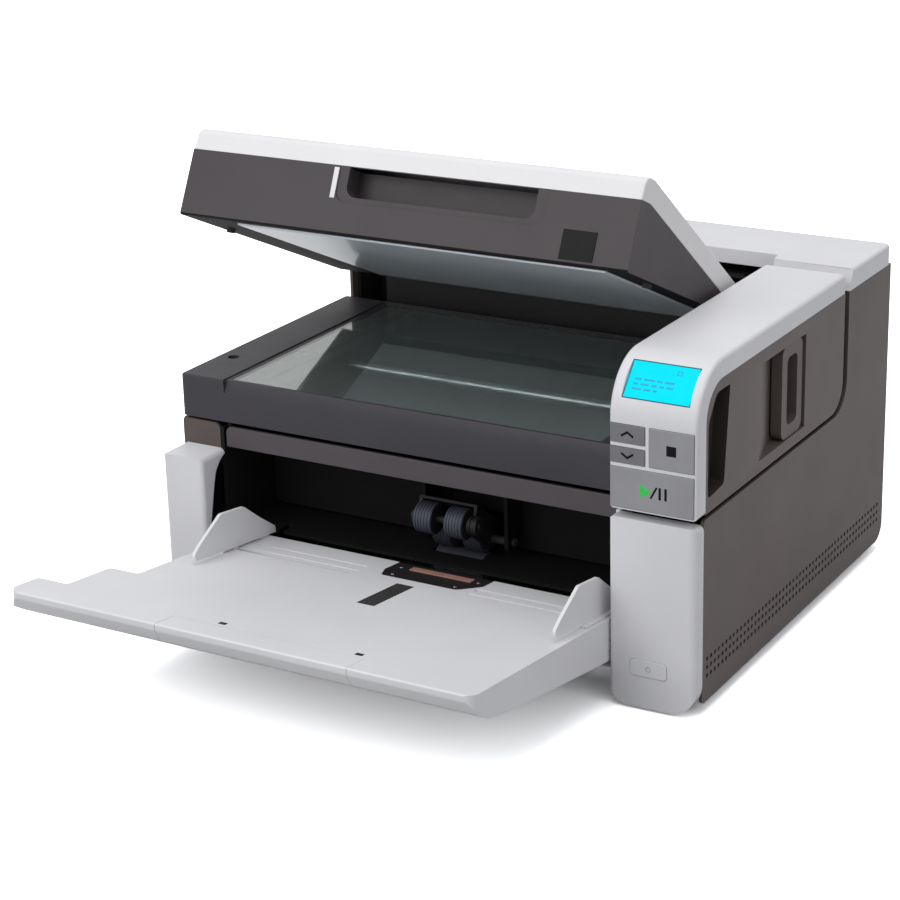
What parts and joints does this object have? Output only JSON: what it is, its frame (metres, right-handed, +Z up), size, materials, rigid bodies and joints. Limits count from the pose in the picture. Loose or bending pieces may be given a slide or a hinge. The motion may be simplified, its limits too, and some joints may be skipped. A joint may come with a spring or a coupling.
{
  "type": "document scanner",
  "caption": "Flatbed document scanner with a hinged lid, a fold-down input tray with side guides, a control arm with display and keys, and a lifting pod over the paper path.",
  "frame": {"origin": "centre of the box's underside, at floor level, with the input tray folded down and the lid raised", "axes": "+Z up, -Y to the front where the input tray is, +X to the right where the control arm is"},
  "size_m": [0.432, 0.529, 0.3492],
  "materials": {
    "black_plastic": "matte",
    "black_rubber": "matte",
    "steel": "brushed",
    "side_plastic": "fine matte texture",
    "light_plastic": "fine satin texture",
    "zinc_steel": "zinc plated",
    "circuit_board": "solder mask",
    "key_plastic": "satin",
    "natural_nylon": "satin",
    "roller_rubber": "matte, ribbed",
    "lid_grey": "matte texture",
    "bed_plastic": "matte texture",
    "platen_glass": "polished",
    "display_window": "clear window over a backlit display",
    "lid_white": "satin",
    "backing_white": "matte film on foam",
    "badge_black": "polished"
  },
  "bodies": {
    "base": {"bottom_chassis": "black_plastic", "rubber_feet": "black_rubber", "casing_screws": "steel", "left_side_panel": "side_plastic", "right_side_panel": "side_plastic", "left_front_post": "light_plastic", "right_front_post": "light_plastic", "tray_hinge_pins": "steel", "rear_shell": "side_plastic", "fan_frame": "black_plastic", "rear_top_cover": "light_plastic", "rear_frame": "black_plastic", "turn_guides": "black_plastic", "transport_frame": "black_plastic", "drive_motor": "zinc_steel", "drive_belt": "black_rubber", "lower_image_sensor": "black_plastic", "main_board": "circuit_board", "power_supply": "zinc_steel"},
    "power_button": {"power_button": "key_plastic"},
    "exit_door": {"rear_exit_door": "side_plastic"},
    "fan_rotor": {"fan_rotor": "black_plastic"},
    "motor_pulley": {"motor_pulley": "natural_nylon"},
    "exit_roller": {"exit_roller": "black_rubber"},
    "front_transport_roller": {"front_transport_roller": "roller_rubber"},
    "rear_transport_roller": {"rear_transport_roller": "roller_rubber"},
    "separation_roller": {"separation_roller": "roller_rubber"},
    "tray": {"input_tray": "light_plastic", "tray_friction_pad": "black_rubber", "pre_separation_plate": "black_plastic"},
    "tray_extender": {"tray_extender": "light_plastic"},
    "left_guide": {"left_side_guide": "light_plastic"},
    "right_guide": {"right_side_guide": "light_plastic"},
    "guide_pinion": {"guide_pinion": "natural_nylon"},
    "pod": {"pod_frame": "black_plastic", "hinge_shaft": "steel", "lower_front_band": "lid_grey", "upper_image_sensor": "black_plastic", "flatbed_housing": "bed_plastic", "platen_glass": "platen_glass", "carriage_rail": "steel", "control_arm_cap": "light_plastic", "control_arm_panel": "side_plastic", "display": "display_window", "control_board": "circuit_board"},
    "scan_carriage": {"scan_carriage": "black_plastic"},
    "button_up": {"button_up": "key_plastic"},
    "button_down": {"button_down": "key_plastic"},
    "button_stop": {"button_stop": "key_plastic"},
    "button_start": {"button_start": "key_plastic"},
    "release_handle": {"release_handle": "light_plastic"},
    "feed_module": {"feed_module_frame": "black_plastic"},
    "feed_roller": {"feed_roller": "roller_rubber"},
    "pick_roller": {"pick_roller": "roller_rubber"},
    "lid": {"lid_lower_shell": "lid_grey", "lid_top_cover": "lid_white", "platen_backing_pad": "backing_white", "lid_bumpers": "black_rubber", "lid_hinge_arms": "black_plastic", "badge_plate": "badge_black"}
  },
  "joints": [
    {"name": "tray_fold", "type": "hinge", "parent": "base", "child": "tray", "pos_m": [0, -0.0775, 0.041], "axis": [1, 0, 0], "range_deg": [-83.4, 0]},
    {"name": "extender_slide", "type": "slide", "parent": "tray", "child": "tray_extender", "axis": [0, -0.9934, 0.1144], "range_m": [0, 0.1]},
    {"name": "left_guide_slide", "type": "slide", "parent": "tray", "child": "left_guide", "axis": [1, 0, 0], "range_m": [0, 0.095]},
    {"name": "right_guide_slide", "type": "slide", "parent": "tray", "child": "right_guide", "axis": [-1, 0, 0], "range_m": [0, 0.095]},
    {"name": "guide_pinion_spin", "type": "hinge", "parent": "tray", "child": "guide_pinion", "pos_m": [0, -0.08782, 0.05628], "axis": [0, 0.1144, 0.9934], "range_deg": [-5, 675]},
    {"name": "pod_lift", "type": "hinge", "parent": "base", "child": "pod", "pos_m": [0, 0.2235, 0.209], "axis": [-1, 0, 0], "range_deg": [0, 25]},
    {"name": "lid_hinge", "type": "hinge", "parent": "pod", "child": "lid", "pos_m": [0, 0.2235, 0.209], "axis": [-1, 0, 0], "range_deg": [-24.4, 30]},
    {"name": "carriage_slide", "type": "slide", "parent": "pod", "child": "scan_carriage", "axis": [1, 0, 0], "range_m": [0, 0.261]},
    {"name": "feed_module_pivot", "type": "hinge", "parent": "pod", "child": "feed_module", "pos_m": [0, -0.0085, 0.07], "axis": [-1, 0, 0], "range_deg": [-34, 0], "stiffness_Nm_per_rad": 0.15, "springref_deg": 57.3},
    {"name": "feed_roller_spin", "type": "hinge", "parent": "feed_module", "child": "feed_roller", "pos_m": [0, -0.0085, 0.07], "axis": [1, 0, 0], "continuous": true},
    {"name": "pick_roller_spin", "type": "hinge", "parent": "feed_module", "child": "pick_roller", "pos_m": [0, -0.0355, 0.0895], "axis": [1, 0, 0], "continuous": true},
    {"name": "release_handle_pull", "type": "hinge", "parent": "pod", "child": "release_handle", "pos_m": [0.21, 0.0925, 0.1865], "axis": [0, 0, 1], "range_deg": [0, 25], "stiffness_Nm_per_rad": 0.2, "springref_deg": -5.73},
    {"name": "button_up_press", "type": "slide", "parent": "pod", "child": "button_up", "axis": [0, 1, 0], "range_m": [0, 0.0012], "stiffness_N_per_m": 400, "springref_m": -0.001},
    {"name": "button_down_press", "type": "slide", "parent": "pod", "child": "button_down", "axis": [0, 1, 0], "range_m": [0, 0.0012], "stiffness_N_per_m": 400, "springref_m": -0.001},
    {"name": "button_stop_press", "type": "slide", "parent": "pod", "child": "button_stop", "axis": [0, 1, 0], "range_m": [0, 0.0012], "stiffness_N_per_m": 400, "springref_m": -0.001},
    {"name": "button_start_press", "type": "slide", "parent": "pod", "child": "button_start", "axis": [0, 1, 0], "range_m": [0, 0.0012], "stiffness_N_per_m": 400, "springref_m": -0.001},
    {"name": "power_button_press", "type": "slide", "parent": "base", "child": "power_button", "axis": [0, 1, 0], "range_m": [0, 0.0012], "stiffness_N_per_m": 400, "springref_m": -0.001},
    {"name": "exit_door_swing", "type": "hinge", "parent": "base", "child": "exit_door", "pos_m": [0, 0.26325, 0.14155], "axis": [-1, 0, 0], "range_deg": [0, 60]},
    {"name": "fan_spin", "type": "hinge", "parent": "base", "child": "fan_rotor", "pos_m": [-0.1905, 0.255, 0.079], "axis": [0, 1, 0], "continuous": true},
    {"name": "separation_roller_spin", "type": "hinge", "parent": "base", "child": "separation_roller", "pos_m": [0, -0.0085, 0.047], "axis": [1, 0, 0], "continuous": true},
    {"name": "front_transport_roller_spin", "type": "hinge", "parent": "base", "child": "front_transport_roller", "pos_m": [0, 0.0375, 0.048], "axis": [1, 0, 0], "continuous": true},
    {"name": "rear_transport_roller_spin", "type": "hinge", "parent": "base", "child": "rear_transport_roller", "pos_m": [0, 0.1325, 0.048], "axis": [1, 0, 0], "continuous": true},
    {"name": "motor_pulley_spin", "type": "hinge", "parent": "base", "child": "motor_pulley", "pos_m": [0.159, 0.1605, 0.037], "axis": [1, 0, 0], "continuous": true},
    {"name": "exit_roller_spin", "type": "hinge", "parent": "base", "child": "exit_roller", "pos_m": [0, 0.2085, 0.2222], "axis": [1, 0, 0], "continuous": true}
  ],
  "couplings": [
    {"joint": "right_guide_slide", "follows": "left_guide_slide", "ratio": 1},
    {"joint": "guide_pinion_spin", "follows": "left_guide_slide", "rad_per_m": 122.72},
    {"joint": "pick_roller_spin", "follows": "feed_roller_spin", "ratio": 1},
    {"joint": "rear_transport_roller_spin", "follows": "front_transport_roller_spin", "ratio": 1},
    {"joint": "motor_pulley_spin", "follows": "front_transport_roller_spin", "ratio": 1.3333},
    {"joint": "exit_roller_spin", "follows": "front_transport_roller_spin", "ratio": -1.6667}
  ]
}
